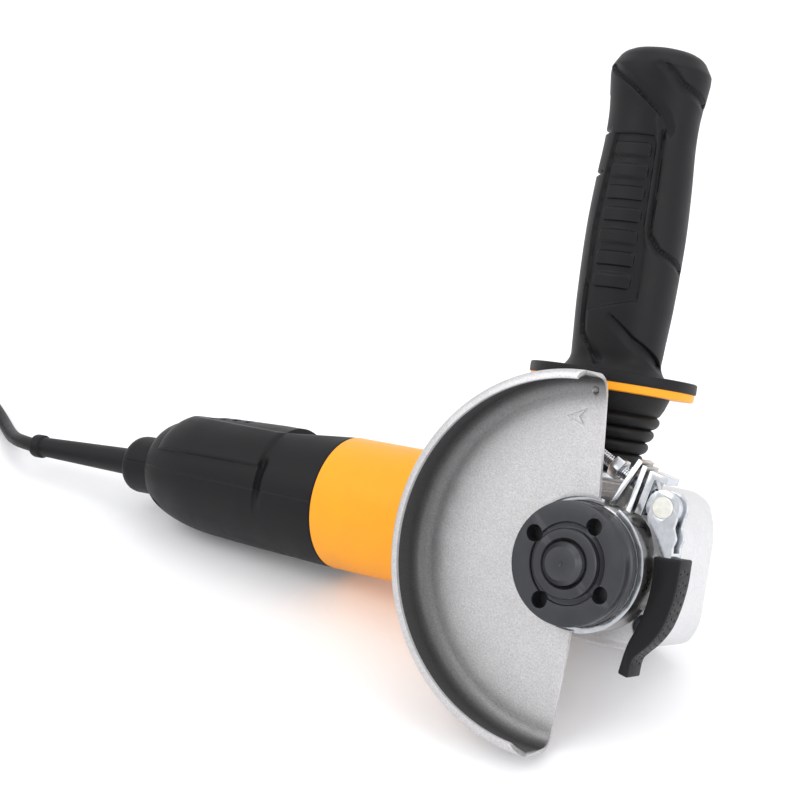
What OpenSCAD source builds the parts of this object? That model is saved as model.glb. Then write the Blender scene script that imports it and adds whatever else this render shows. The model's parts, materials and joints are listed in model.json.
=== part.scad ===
// Angle grinder for 115 mm discs, lying on a bench with its side handle up.
// The parts are drawn in the tool's own frame, in millimetres: the origin is where the motor axis
// crosses the spindle axis, X runs forward along the motor axis, the spindle points along -Y
// and the side handle along +Z. stand() then leans the whole tool the way it rests on a bench.

/* [Guard] */
// Outer radius of the guard's rim
guard_r = 61; // [60:0.5:63]
// Depth of the guard, from the back of its plate to its front edge
guard_depth = 18.2; // [16:0.1:20]
// Thickness of the guard's sheet steel
guard_sheet = 1.5; // [1.2:0.1:1.8]

/* [Gear head] */
// Half height of the gear housing, towards the side handle
head_half = 27; // [26:0.5:28]
// Distance from the spindle axis to the nose of the gear housing
head_nose = 24; // [23.5:0.5:26]
// Distance from the motor axis to the back of the gear housing
head_back = 27; // [26:0.5:29]
// Radius of the round neck that carries the guard
neck_r = 20.2; // [20:0.1:20.4]

/* [Spindle] */
// Distance from the motor axis to the spindle's end
spindle_end = 55; // [54:0.5:57]
// Radius of the locknut and of the inner flange
nut_r = 20; // [19:0.5:20]
// Radius of the circle that the locknut's spanner holes lie on
nut_hole_circle = 15; // [14:0.5:16]

/* [Gears] */
// Pitch radius of the driven gear at its outer end
gear_pitch_r = 19; // [18.5:0.1:19.2]

/* [Body] */
// Outer radius of the motor housing
body_r = 25.2; // [25:0.1:26]
// Distance from the spindle axis to the joint between motor housing and rear shells
seam_b = 120; // [118:0.5:122]
// Distance from the spindle axis to the end of the cord boss
boss_end = 229; // [227:0.5:232]
// Wall thickness of the moulded housings
wall = 2.4; // [2:0.1:2.6]

/* [Side handle] */
// Forward position of the side handle's axis
handle_x = -15; // [-16:0.5:-14]
// Position of the side handle's axis towards the gear housing's back
handle_y = -8; // [-8:0.5:-6]
// Height of the side handle's end above the motor axis
handle_top = 173.5; // [165:0.5:180]
// Radius of the side handle's hand guard disc
disc_r = 28.5; // [27.5:0.5:30]

/* [Mains lead] */
// Diameter of the mains lead
cord_d = 6; // [5.5:0.5:6.5]
// Length of the tapered strain relief outside the body
relief_len = 60; // [50:1:62]

/* [Stance] */
// Angle by which the tool leans back about its motor axis
lean = 25.2; // [20:0.1:30]
// Angle by which the tail lies lower than the nose
tail_drop = 4.4; // [0:0.1:8]

/* [Hidden] */
$fn = 64;
eps = 0.01;
fit = 0.05;         // radial clearance of a running fit

// Colours
c_yellow = "orange";
c_black = "#232325";
c_rubber = "#1b1b1d";
c_steel = "silver";
c_dark_steel = "#3c3c40";
c_cast = "gainsboro";
c_guard = "lightgray";
c_copper = "peru";

// Placing of the tool on the bench, found from the three points that it rests on
stand_shift = [128.6, 0, 37.69];

// Side handle, heights above the motor axis
boss_top = head_half + 3;
boot_top = 56.6;
ring_top = 59.3;
disc_top = 63;
stud_foot = 18.5;
stud_r = 4;

// Spindle stack, distances outward from the motor axis
thread_r = 7;           // M14 thread
flange_face = 20;       // front face of the gear housing
plate_face = 24;        // front face of the bearing flange's plate
neck_end = 40.3;
guard_back = 41.3;      // back face of the guard's plate
inner_flange_face = 45;
nut_face = 50.5;
nut_hub_face = 52.5;
bearing_u = [13, 23];   // spindle bearing
bearing_out_r = 16;
bearing_in_r = 6;
seal_u = [27, 31];

// Guard clamp, in the plane across the spindle: [forward, towards the handle]
band_in_r = neck_r + 0.08;
band_out_r = 22.2;
band_u = [29.3, guard_back];
ear_u = [27.3, 36.3];
pin_at = [22.6, 22.1];
pin_r = 3.6;
pin_u = [27.2, 35.9];
cheek_u = [27.6, 35.4];
cheek_t = 1.7;
eye_r = 5.6;
sleeve_u = [27, 36.8];
screw_u = 31.5;
screw_dir = 152.5;      // direction of the clamp screw, seen from the front
screw_len = 30;
barrel_r = 5;
barrel_half = 2.15;     // half height of the barrel, between the lever's cheeks
saddle_gap = 0.15;      // running gap between the lever's eye and the saddle

// Motor stack, distances rearward from the spindle axis
flange_b = [30, 34];    // square flange of the gear housing
front_bearing_b = [24, 32];
front_bearing_out_r = 13;
fan_b = [38, 48];
core_b = [62, 102];
commutator_b = [116, 132];
brush_b = 124;
rear_bearing_b = [138, 145];
rear_bearing_out_r = 11;
shaft_end = 146;
tail_end = 214;
boss_r = 11.7;

// Bevel gears: both pitch cones meet at the origin
gear_teeth = 36;
pinion_teeth = 10;
pinion_pitch_r = gear_pitch_r * pinion_teeth / gear_teeth;
gear_cone = atan(gear_teeth / pinion_teeth);
cone_len = sqrt(pow(gear_pitch_r, 2) + pow(pinion_pitch_r, 2));
face_w = 5.6;
module_mm = 2 * gear_pitch_r / gear_teeth;

// ---- frames --------------------------------------------------------------------------------

// Leans the tool the way it rests on the bench
module stand() translate(stand_shift) rotate([0, -tail_drop, 0]) rotate([-lean, 0, 0]) children();

// Local z points outward along the spindle, x forward, y towards the handle
module on_spindle() rotate([90, 0, 0]) children();

// Local z points rearward along the motor axis, x towards the handle, y towards the tool's back
module on_motor() rotate([0, -90, 0]) children();

// The lead leaves the body a little below the motor axis and points a little downward
lead_from = 198;
lead_low = 1;
lead_droop = 1.6;
module on_lead() translate([-lead_low, 0, lead_from]) rotate([0, -lead_droop, 0])
    translate([0, 0, -lead_from]) children();

// Local z points along the side handle
module on_handle() translate([handle_x, handle_y, 0]) children();

// Local z points along the clamp screw from the lever's pin
module on_screw() on_spindle() translate([pin_at.x, pin_at.y, screw_u])
    rotate([0, 0, screw_dir]) rotate([0, 90, 0]) children();

// ---- shared shapes ---------------------------------------------------------------------------

module ring(r_in, r_out, z) translate([0, 0, z[0]]) difference() {
    cylinder(r = r_out, h = z[1] - z[0]);
    translate([0, 0, -1]) cylinder(r = r_in, h = z[1] - z[0] + 2);
}

module rod(r, z) translate([0, 0, z[0]]) cylinder(r = r, h = z[1] - z[0]);

// Square with half width s and rounded corners, drawn from exact arcs
module rounded_square(s, r) {
    square([2 * s, 2 * (s - r)], center = true);
    square([2 * (s - r), 2 * s], center = true);
    for (x = [-1, 1], y = [-1, 1]) translate([x * (s - r), y * (s - r)]) circle(r);
}

// Copies at equal angles about z, at radius r
module around(n, r, first = 0) for (i = [0 : n - 1]) rotate([0, 0, first + i * 360 / n])
    translate([r, 0, 0]) children();

// Socket-head screw along z: head on top at z = 0, shank below
module screw(shank_r, shank_len, head_r, head_h) difference() {
    union() {
        translate([0, 0, -shank_len]) cylinder(r = shank_r, h = shank_len);
        cylinder(r = head_r, h = head_h);
    }
    translate([0, 0, head_h / 2]) cylinder(r = head_r * 0.5, h = head_h, $fn = 6);
}

// Point on a smooth curve through p, at t from 0 to len(p) - 1
function curve_at(p, t) = let (
    n = len(p), i = min(floor(t), n - 2), f = t - i,
    a = p[max(i - 1, 0)], b = p[i], c = p[i + 1], d = p[min(i + 2, n - 1)]
) 0.5 * (2 * b + f * (c - a) + f * f * (2 * a - 5 * b + 4 * c - d)
    + f * f * f * (3 * b - a - 3 * c + d));
function curve(p, steps) = [for (k = [0 : (len(p) - 1) * steps]) curve_at(p, k / steps)];

// Tube of radius r swept along the points p with n sides; up is any direction off the path
function unit(v) = v / norm(v);
function tangent(p, i) = unit(p[min(i + 1, len(p) - 1)] - p[max(i - 1, 0)]);
module sweep(p, r, n, up = [0, 0, 1]) {
    rings = [for (i = [0 : len(p) - 1]) let (
        t = tangent(p, i), s = unit(cross(up, t)), w = cross(t, s)
    ) for (k = [0 : n - 1]) p[i] + r * (cos(k * 360 / n) * s + sin(k * 360 / n) * w)];
    last = (len(p) - 1) * n;
    sides = [for (i = [0 : len(p) - 2], k = [0 : n - 1]) let (
        a = i * n + k, b = i * n + (k + 1) % n
    ) [a, a + n, b + n, b]];
    polyhedron(rings, concat(sides, [[for (k = [0 : n - 1]) k]],
        [[for (k = [n - 1 : -1 : 0]) last + k]]), convexity = 10);
}

// Coil spring along z
module coil_spring(r, wire_r, z, turns) {
    per_turn = 14;
    sweep([for (i = [0 : turns * per_turn]) let (a = i * 360 / per_turn)
        [r * cos(a), r * sin(a), z[0] + (z[1] - z[0]) * i / (turns * per_turn)]],
        wire_r, 6);
}

// ---- gear head -------------------------------------------------------------------------------

// Front view of the head: forward x, towards the handle y
module head_front() {
    back = 24;
    top_r = 19;
    low_r = 17;
    translate([-back, -head_half]) square([back + head_nose - top_r, 2 * head_half]);
    translate([-back, -head_half]) square([back + head_nose - low_r, head_half]);
    translate([0, -head_half + low_r]) square([head_nose, 2 * head_half - top_r - low_r]);
    translate([head_nose - top_r, head_half - top_r]) circle(top_r);
    translate([head_nose - low_r, -head_half + low_r]) circle(low_r);
}

// Side view of the head: forward x, towards the tool's back y
module head_side() {
    nose_r = 6;
    hull() {
        translate([-24, -flange_face]) square([head_nose + 24, 6]);
        translate([-24, head_back - 1]) square([1, 1]);
        translate([head_nose - nose_r, 6]) circle(nose_r, $fn = 32);
        translate([head_nose - 14, 13.5]) circle(8, $fn = 32);
        translate([-4, head_back - 8]) circle(8, $fn = 32);
    }
}

screw_corner = 21.5;    // housing screws, on the square flange
flange_screw_r = 24.6;  // bearing flange screws, on a circle
lock_well = -19.2;      // bottom of the lock button's well
lock_z = 10.4;          // lock button's axis, above the spindle

module gear_housing() color(c_cast) difference() {
    union() {
        intersection() {
            on_spindle() translate([0, 0, -head_back]) linear_extrude(head_back + flange_face)
                head_front();
            translate([0, 0, -head_half]) linear_extrude(2 * head_half) head_side();
        }
        on_motor() rod(25.5, [22, flange_b[1]]);
        on_motor() translate([0, 0, flange_b[0]]) linear_extrude(flange_b[1] - flange_b[0])
            rounded_square(26.5, 7);
        on_handle() rod(10, [head_half - 6, boss_top]);
    }
    // gear chamber, closed by the bearing flange
    on_spindle() rod(21.5, [-4, flange_face + 1]);
    // bush seat and the spindle's top end
    on_spindle() rod(7.5, [-19, 0]);
    // pinion tunnel and front bearing seat, open to the motor
    on_motor() rod(8.5, [8, flange_b[1] + 1]);
    on_motor() rod(front_bearing_out_r, [front_bearing_b[0], flange_b[1] + 1]);
    // threaded holes for the side handle, one on each side
    on_handle() rod(stud_r, [stud_foot - 0.5, boss_top + 1]);
    on_handle() rod(stud_r, [-head_half - 1, -stud_foot]);
    // lock button's well and pin hole
    on_spindle() translate([0, lock_z, 0]) rod(2.3, [-22, 0]);
    on_spindle() translate([0, lock_z, 0]) rod(6.8, [-40, lock_well]);
    // tapped holes for the bearing flange
    on_spindle() around(4, flange_screw_r, 45) rod(1.98, [flange_face - 9, flange_face + 1]);
    on_motor() for (x = [-1, 1], y = [-1, 1]) translate([x * screw_corner, y * screw_corner, 0])
        rod(2.1, [flange_b[0] - 1, flange_b[1] + 1]);
    // relief for the housing screws' heads beside the head block
    on_motor() for (x = [-1, 1], y = [-1, 1]) translate([x * screw_corner, y * screw_corner, 0])
        rod(3.9, [flange_b[0] - 12, flange_b[0]]);
}

module bearing_flange() color(c_cast) difference() {
    on_spindle() union() {
        rod(21.45, [bearing_u[0], flange_face]);
        translate([0, 0, flange_face]) linear_extrude(plate_face - flange_face)
            intersection() {
                circle(29);
                translate([-1, 0]) rounded_square(24, 11);
                translate([-21.9, -30]) square([60, 60]);
            }
        rod(neck_r, [flange_face, neck_end]);
    }
    on_spindle() {
        rod(bearing_out_r, [bearing_u[0] - 1, bearing_u[1]]);
        rod(12.5, [bearing_u[0], neck_end + 1]);
        around(4, flange_screw_r, 45) {
            rod(2.1, [flange_face - 1, plate_face + 1]);
            rod(3.7, [plate_face - 2.5, plate_face + 1]);
        }
    }
}

module flange_screws() color(c_dark_steel) on_spindle() around(4, flange_screw_r, 45)
    translate([0, 0, plate_face - 2.5]) screw(1.95, 9, 3.6, 2.4);

module housing_screws() color(c_dark_steel) on_motor() for (x = [-1, 1], y = [-1, 1])
    translate([x * screw_corner, y * screw_corner, flange_b[0]]) mirror([0, 0, 1])
        screw(1.95, 16, 3.6, 3.5);

module lock_button() color(c_black) on_spindle() translate([0, lock_z, 0]) {
    rod(2.2, [-26, 5]);
    difference() {
        rod(6.5, [-29.5, -23.5]);
        ring(2.2, 5.2, [-25.5, -23]);
    }
}

module lock_spring() color(c_steel) on_spindle() translate([0, lock_z, 0])
    coil_spring(3.9, 0.35, [-25.1, lock_well - 0.4], 3);

// ---- spindle ---------------------------------------------------------------------------------

module spindle() color(c_dark_steel) on_spindle() difference() {
    union() {
        rod(4, [-18, -6]);
        rod(5, [-6, 4]);
        rod(bearing_in_r, [4, 23.5]);
        rod(8, [23.5, 38]);
        rod(10.5, [38, 41]);
        rod(thread_r - 0.1, [41, spindle_end - 1]);
        translate([0, 0, spindle_end - 1]) cylinder(r1 = thread_r - 0.1, r2 = thread_r - 1, h = 1);
    }
    translate([0, 0, spindle_end - 0.8]) cylinder(r = 0.8, h = 2);
}

module spindle_bush() color("goldenrod") on_spindle() ring(4 + fit, 7.45, [-15.5, -9]);
module spindle_seal() color(c_rubber) on_spindle() ring(8.1, 12.45, seal_u);
module spindle_bearing_outer() color(c_steel) on_spindle() ring(13.4, bearing_out_r - 0.02, bearing_u);
module spindle_bearing_inner() color(c_steel) on_spindle() ring(bearing_in_r + 0.02, 8.6, bearing_u);
module spindle_bearing_balls() color(c_steel) on_spindle() around(7, 11)
    translate([0, 0, (bearing_u[0] + bearing_u[1]) / 2]) sphere(2.3);

module inner_flange() color(c_black) on_spindle() difference() {
    union() {
        rod(nut_r, [41, inner_flange_face]);
        rod(11, [41, inner_flange_face + 1.5]);
    }
    rod(thread_r, [40, inner_flange_face + 3]);
}

module locknut() color(c_black) on_spindle() difference() {
    union() {
        rod(nut_r - 0.5, [inner_flange_face, nut_face]);
        ring(nut_r - 1, nut_r, [inner_flange_face + 0.5, nut_face - 0.5]);
        rod(11.3, [inner_flange_face, nut_hub_face]);
    }
    rod(11.2, [inner_flange_face - 1, inner_flange_face + 1.8]);
    ring(11.3, 13, [nut_face - 1, nut_face + 1]);
    around(4, nut_hole_circle, 60) rod(2.8, [inner_flange_face - 1, nut_face + 1]);
    rod(thread_r, [inner_flange_face - 1, nut_hub_face + 1]);
}

// ---- bevel gears -----------------------------------------------------------------------------

// One straight bevel tooth about z, apex at the origin, for a pitch cone of half angle cone.
// Sections at both ends shrink towards the apex; half_thick is half the tooth at the pitch line.
module bevel_tooth(cone, pitch_r, up, down, half_thick) {
    ends = [1, 1 - face_w / cone_len];
    function section(k) = [for (q = [[-1, -down, 1.35], [-1, 0, 1], [-1, up, 0.5],
        [1, up, 0.5], [1, 0, 1], [1, -down, 1.35]])
        k * [pitch_r + q[1] * cos(cone), q[0] * q[2] * half_thick, pitch_r / tan(cone) - q[1] * sin(cone)]];
    points = concat(section(ends[0]), section(ends[1]));
    polyhedron(points, [[5, 4, 3, 2, 1, 0], [6, 7, 8, 9, 10, 11],
        for (i = [0 : 5]) [i, (i + 1) % 6, 6 + (i + 1) % 6, 6 + i]]);
}

// [radius, height] on the cone that the teeth stand on, at the share k of the cone's length
function root_at(cone, pitch_r, k) =
    [k * pitch_r - tooth_down * cos(cone), k * pitch_r / tan(cone) + tooth_down * sin(cone)];

tooth_up = 0.75 * module_mm;
tooth_down = 0.95 * module_mm;
tooth_half = 0.66 * module_mm;
tooth_small = 1 - face_w / cone_len;

// The teeth face the motor axis; the lock button's pin drops into the ring-shaped recess
module driven_gear() color(c_steel) on_spindle() {
    back = 11;
    bore = bearing_in_r + 0.02;
    pocket = [7.8, 12.9, 9.3];
    rotate_extrude() polygon([[bore, 6.2], [pocket[0], 6.2], [pocket[0], pocket[2]],
        [pocket[1], pocket[2]], [pocket[1], 4.9], root_at(gear_cone, gear_pitch_r, tooth_small),
        root_at(gear_cone, gear_pitch_r, 1), [gear_pitch_r - 1, back], [bore, back]]);
    for (i = [0 : gear_teeth - 1]) rotate([0, 0, (i + 0.5) * 360 / gear_teeth])
        bevel_tooth(gear_cone, gear_pitch_r, tooth_up, tooth_down + 0.3, tooth_half);
}

// Blind bore, shrunk on the motor shaft's thin end
pinion_bore = [2.52, 15.5];
pinion_collar = 24;

module bevel_pinion() color(c_steel) on_motor() {
    cone = 90 - gear_cone;
    small = root_at(cone, pinion_pitch_r, tooth_small) + [0.2, 0];
    rotate_extrude() polygon([[0, small[1]], small, root_at(cone, pinion_pitch_r, 1) + [0.2, 0],
        [6, pinion_collar - 3], [6, pinion_collar], [pinion_bore[0], pinion_collar],
        [pinion_bore[0], pinion_bore[1]], [0, pinion_bore[1]]]);
    for (i = [0 : pinion_teeth - 1]) rotate([0, 0, 18 + i * 360 / pinion_teeth])
        bevel_tooth(cone, pinion_pitch_r, tooth_up, tooth_down, tooth_half);
}

// ---- motor -----------------------------------------------------------------------------------

module armature_shaft() color(c_steel) on_motor() {
    rod(2.5, [pinion_bore[1] + 0.1, pinion_collar]);
    rod(5, [pinion_collar, rear_bearing_b[0] - 1]);
    rod(4, [rear_bearing_b[0] - 1, shaft_end]);
}

module armature_core() color("dimgray") on_motor() difference() {
    ring(5.02, 14.5, core_b);
    around(12, 14.5) translate([0, 0, core_b[0] - 1]) linear_extrude(core_b[1] - core_b[0] + 2)
        square([5, 1.2], center = true);
}

module armature_windings() color(c_copper) on_motor() {
    ring(5.02, 12.8, [core_b[0] - 7, core_b[0]]);
    ring(5.02, 12.8, [core_b[1], core_b[1] + 9]);
}

module commutator() color(c_copper) on_motor() difference() {
    union() {
        ring(5.02, 10, commutator_b);
        ring(5.02, 11, [commutator_b[0] - 2, commutator_b[0]]);
    }
    around(24, 10) translate([0, 0, commutator_b[0] + 1])
        linear_extrude(commutator_b[1] - commutator_b[0]) square([1.6, 0.4], center = true);
}

fan_r = 20.5;
module cooling_fan() color("black") on_motor() {
    ring(5.02, 8, [fan_b[0] - 2, fan_b[1]]);
    ring(8, fan_r, [fan_b[1] - 1.6, fan_b[1]]);
    around(13, 7.9) translate([0, 0, fan_b[0]]) rotate([0, 0, 25])
        linear_extrude(fan_b[1] - fan_b[0] - 1) translate([0, -0.6]) square([12.4, 1.2]);
}

module front_bearing_outer() color(c_steel) on_motor()
    ring(10.9, front_bearing_out_r - 0.02, front_bearing_b);
module front_bearing_inner() color(c_steel) on_motor() ring(5.02, 7, front_bearing_b);
module rear_bearing_outer() color(c_steel) on_motor() ring(9.2, rear_bearing_out_r, rear_bearing_b);
module rear_bearing_inner() color(c_steel) on_motor() ring(4.02, 5.6, rear_bearing_b);
module armature_bearing_balls() color(c_steel) on_motor() {
    around(8, 8.95) translate([0, 0, (front_bearing_b[0] + front_bearing_b[1]) / 2]) sphere(1.9);
    around(7, 7.4) translate([0, 0, (rear_bearing_b[0] + rear_bearing_b[1]) / 2]) sphere(1.75);
}
module rear_bearing_sleeve() color(c_rubber) on_motor()
    ring(rear_bearing_out_r, rear_bearing_out_r + 1.8, rear_bearing_b);

bore_r = body_r - wall;     // inside radius of the motor housing
stator_in_r = 15.2;

module stator_core() color("dimgray") on_motor() difference() {
    ring(stator_in_r, bore_r - 0.05, core_b);
    // winding windows on both sides of the two poles
    for (a = [-1, 1]) rotate([0, 0, 90 + 90 * a]) for (b = [-1, 1]) rotate([0, 0, b * 48])
        translate([17.6, 0, core_b[0] - 1]) linear_extrude(core_b[1] - core_b[0] + 2)
            square([5, 6], center = true);
}

module stator_windings() color(c_copper) on_motor() for (a = [0, 180]) rotate([0, 0, a])
    for (z = [[core_b[0] - 8, core_b[0]], [core_b[1], core_b[1] + 10]])
        translate([0, 0, z[0]]) rotate_extrude(angle = 116, start = -58)
            translate([15.6, 0]) square([6, z[1] - z[0]]);

// ---- body shells -----------------------------------------------------------------------------

module motor_housing() color(c_yellow) on_motor() difference() {
    union() {
        translate([0, 0, flange_b[1]]) linear_extrude(6) rounded_square(26.5, 7);
        rod(body_r, [flange_b[1], seam_b]);
        translate([0, 0, flange_b[1] + 6]) cylinder(r1 = 26.4, r2 = body_r, h = 16);
    }
    rod(bore_r, [flange_b[1] - 1, seam_b + 1]);
    for (x = [-1, 1], y = [-1, 1]) translate([x * screw_corner, y * screw_corner, 0])
        rod(1.98, [flange_b[1] - 1, flange_b[1] + 13]);
    // exhaust slots beside the fan
    for (a = [0, 180], i = [-1 : 1]) rotate([0, 0, a + i * 18]) translate([22, -2, fan_b[0] + 3])
        cube([8, 4, 12]);
}

// Rear body outline: [radius, distance rearward], drawn down to the cord boss
tail_profile = [[24, 172], [23.4, 185], [22, 195], [19.6, 204], [16.2, 210.5], [10.5, tail_end]];
function shell_line(inset) = concat([[body_r - inset, seam_b - (inset > 0 ? 1 : 0)], [body_r - 0.1 - inset, 140]],
    [for (q = curve([[24.6, 156], each tail_profile], 3)) q - [inset, inset * 0.8]]);

hood_top = 22.3;    // height of the hood's flat top
hood_b = 148;       // front of the hood
hood_profile = [[25.6, 164], [25.1, 178], [24.4, 190], [22.4, 199], [18.5, 204], [10, 207.5]];
module tail_solid(inset = 0) {
    rotate_extrude() polygon(concat([[0, shell_line(inset)[0].y]], shell_line(inset), [[0, tail_end - inset]]));
    // raised hood on the handle's side, flat on top, with a blunt rear end
    intersection() {
        rotate_extrude(angle = 138, start = -69) polygon(concat([[8, hood_b + inset]],
            [for (q = curve([[24.8, hood_b + inset], [25.5, hood_b + 3 + inset], each hood_profile], 3))
                q - [inset, inset > 0 && q[1] > 170 ? inset : 0]]));
        translate([-40, -40, hood_b - 1]) cube([40 + hood_top - inset, 80, 80]);
    }
}

slot_b = [145.5, 164.5];    // switch slot
slot_half = 4.3;
vent_b = 170;               // first of the air inlets
module rear_shells() on_motor() difference() {
    union() {
        tail_solid();
        // boss round the mains lead
        on_lead() {
            rod(boss_r, [lead_from, boss_end - 2]);
            translate([0, 0, boss_end - 2]) cylinder(r1 = boss_r, r2 = boss_r - 2, h = 2);
        }
    }
    difference() {
        tail_solid(wall);
        // saddle for the rear bearing and wall behind it
        difference() {
            rod(bore_r + 3, [rear_bearing_b[0] - 1.2, rear_bearing_b[1] + 3]);
            rod(rear_bearing_out_r + 1.8, [rear_bearing_b[0] - 2, rear_bearing_b[1]]);
            rod(7, [rear_bearing_b[0], rear_bearing_b[1] + 5]);
            translate([-30, 18, rear_bearing_b[0] - 2]) cube([60, 20, 12]);
        }
        // bosses for the screws that close the shells
        for (q = shell_screw_at) translate([-30, q[0], q[1]]) rotate([0, 90, 0]) rod(4, [0, 60]);
    }
    on_lead() {
        rod(5.2, [lead_from + 2, boss_end - 10]);
        rod(6, [relief_foot - 0.2, boss_end + 1]);
        rod(7.5, [relief_bead[0] - 0.1, relief_bead[1] + 0.1]);
    }
    // slot for the switch on the tool's back
    translate([-slot_half, 15, slot_b[0]]) cube([2 * slot_half, 20, slot_b[1] - slot_b[0]]);
    // air inlets on both sides
    for (s = [-1, 1], i = [0 : 3]) translate([s * 21 - 6, -6, vent_b + 6 * i])
        cube([12, 14, 2.2]);
    for (q = shell_screw_at) translate([0, q[0], q[1]]) rotate([0, -90, 0]) {
        rod(1.6, [-14, 30]);
        rod(3.2, [9, 40]);
    }
}

// Screws through both shells: [towards the tool's back, distance rearward]
shell_screw_at = [[2, 157], [17.5, 176], [-10.5, 205]];

module rear_shell_upper() color(c_black) intersection() {
    rear_shells();
    translate([-300, -50, 0]) cube([300, 100, 50]);
}
module rear_shell_lower() color(c_black) intersection() {
    rear_shells();
    translate([-300, -50, -50]) cube([300, 100, 50]);
}
module shell_screws() color(c_dark_steel) on_motor() for (q = shell_screw_at)
    translate([-9, q[0], q[1]]) rotate([0, -90, 0]) screw(1.55, 18, 3.1, 2);

// ---- brushes and switch ----------------------------------------------------------------------

module brush_holders() color("goldenrod") on_motor() for (a = [0, 180]) rotate([0, 0, a])
    difference() {
        translate([11.4, -5, brush_b - 4]) cube([9.6, 10, 8]);
        translate([10, -4.05, brush_b - 3.05]) cube([10, 8.1, 6.1]);
    }

module carbon_brushes() color("#303034") on_motor() for (a = [0, 180]) rotate([0, 0, a])
    difference() {
        translate([9.7, -4, brush_b - 3]) cube([7.3, 8, 6]);
        rod(10.1, [brush_b - 5, brush_b + 5]);
    }

module brush_springs() color(c_steel) on_motor() for (a = [0, 180])
    rotate([0, 0, a]) translate([0, 0, brush_b]) rotate([0, 90, 0])
        coil_spring(2, 0.3, [17.4, 19.6], 3);

switch_b = [171, 195];
module switch_block() color(c_black) on_motor() {
    translate([-7, -9, switch_b[0]]) cube([14, 19, switch_b[1] - switch_b[0]]);
    translate([-3, 10, switch_b[0] + 3]) cube([6, 1.4, 14]);
}

slider_top = 29.4;
slider_b = [146.5, 171.5];
module switch_slider() color(c_black) on_motor() difference() {
    union() {
        translate([-6.8, 25.45, slider_b[0]]) cube([13.6, slider_top - 25.45, slider_b[1] - slider_b[0]]);
        translate([-3.9, 17, 152]) cube([7.8, 8.5, 10]);
    }
    // finger ribs
    for (i = [0 : 5]) translate([-8, slider_top - 0.8, slider_b[0] + 4 + i * 3.2])
        cube([16, 2, 1.4]);
}

module switch_link() color(c_steel) on_motor() {
    translate([-2, 12.5, 154]) cube([4, 1.5, 15]);
    translate([-2, 12.5, 154]) cube([4, 4.5, 1.5]);
}

// ---- side handle -----------------------------------------------------------------------------

module handle_stud() color(c_steel) on_handle() {
    rod(stud_r - 0.05, [stud_foot, disc_top + 26]);
    translate([0, 0, disc_top + 14]) cylinder(r = 6, h = 6, $fn = 6);
}

// Rubber boot that damps the handle: four ribs that widen towards a plain collar
module handle_boot() color(c_rubber) on_handle() rotate_extrude() {
    pitch = 4.4;
    rib = 1.7;
    taper = 1.25;
    foot_r = 11.6;
    first = boss_top + 4.4;
    polygon([[stud_r + 0.1, boss_top], [foot_r, boss_top], [foot_r + 0.2, first],
        [foot_r + 0.2 + 3 * taper, first + 3 * pitch], [foot_r + 5.2, boot_top - 7],
        [18.8, boot_top - 4], [20, boot_top - 0.6], [20, boot_top], [stud_r + 0.1, boot_top]]);
    for (i = [0 : 3]) translate([foot_r + 0.9 + i * taper, first + i * pitch]) circle(rib, $fn = 24);
}

module handle_ring() color(c_yellow) on_handle() ring(stud_r + 0.1, disc_r - 0.5, [boot_top, ring_top]);

module handle_disc() color(c_black) on_handle() ring(stud_r + 0.1, disc_r, [ring_top, disc_top]);

grip_line = [[17.5, 63], [15.6, 66.5], [15.7, 72], [16.6, 88], [17, 110], [16.4, 127], [15.5, 141],
    [15.5, 151], [16.4, 158.5], [17, 164], [16.7, 166.9], [14.4, 171], [9, 173.1]];
module handle_grip() color(c_rubber) on_handle() difference() {
    grip_stretch = (handle_top - disc_top) / (173.5 - grip_line[0].y);
    rotate_extrude() polygon(concat([[0, disc_top]],
        [for (q = curve(grip_line, 4)) [q.x, disc_top + (q.y - grip_line[0].y) * grip_stretch]],
        [[0, handle_top]]));
    rod(stud_r + 0.02, [disc_top - 1, disc_top + 26.2]);
    translate([0, 0, disc_top + 13.9]) cylinder(r = 6.1, h = 6.2, $fn = 6);
}

// ---- guard -----------------------------------------------------------------------------------

module guard_shell() color(c_guard) on_spindle() {
    rim_in = guard_r - guard_sheet;
    front = guard_back + guard_depth;
    lip = 1.5;
    // plate, cut along its two straight edges
    translate([0, 0, guard_back]) linear_extrude(guard_sheet) intersection() {
        difference() {
            circle(guard_r);
            circle(nut_r + 1.5);
        }
        polygon([[-70, 70], [0, 70], [0, guard_r], [3.8, 22], [0.6, 0], [1.3, -21.5], [0, -57], [0, -70],
            [-70, -70]]);
    }
    // rim
    rotate_extrude(angle = 180, start = 90) translate([rim_in, guard_back + guard_sheet])
        square([guard_sheet, guard_depth - guard_sheet - lip]);
    // rolled front lip, stopping short of both ends
    rotate_extrude(angle = 172.4, start = 92.4) polygon([[rim_in, front - lip], [guard_r, front - lip],
        [guard_r - 1.3, front - 0.3], [guard_r - 3, front], [guard_r - 3.2, front - 0.9],
        [rim_in - 0.2, front - lip - 0.2]]);
}

module clamp_hole() on_screw() rod(2.6, [5, 26]);

module ear(foot, top, thick = 1.7) translate([0, 0, ear_u[0]]) linear_extrude(ear_u[1] - ear_u[0])
    translate(foot) rotate([0, 0, atan2(top.y - foot.y, top.x - foot.x)])
        translate([-1, -thick / 2]) square([norm(top - foot) + 1, thick]);

module clamp_band() color(c_steel) difference() {
    on_spindle() {
        rotate_extrude(angle = 345, start = 76) translate([band_in_r, band_u[0]])
            square([band_out_r - band_in_r, band_u[1] - band_u[0]]);
        difference() {
            union() {
                ear([5.5, 20.9], [13.1, 35.7]);
                ear([11.4, 18.6], [14.9, 34.2]);
            }
            rod(band_in_r + 0.4, [20, 45]);
        }
    }
    clamp_hole();
}

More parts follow.
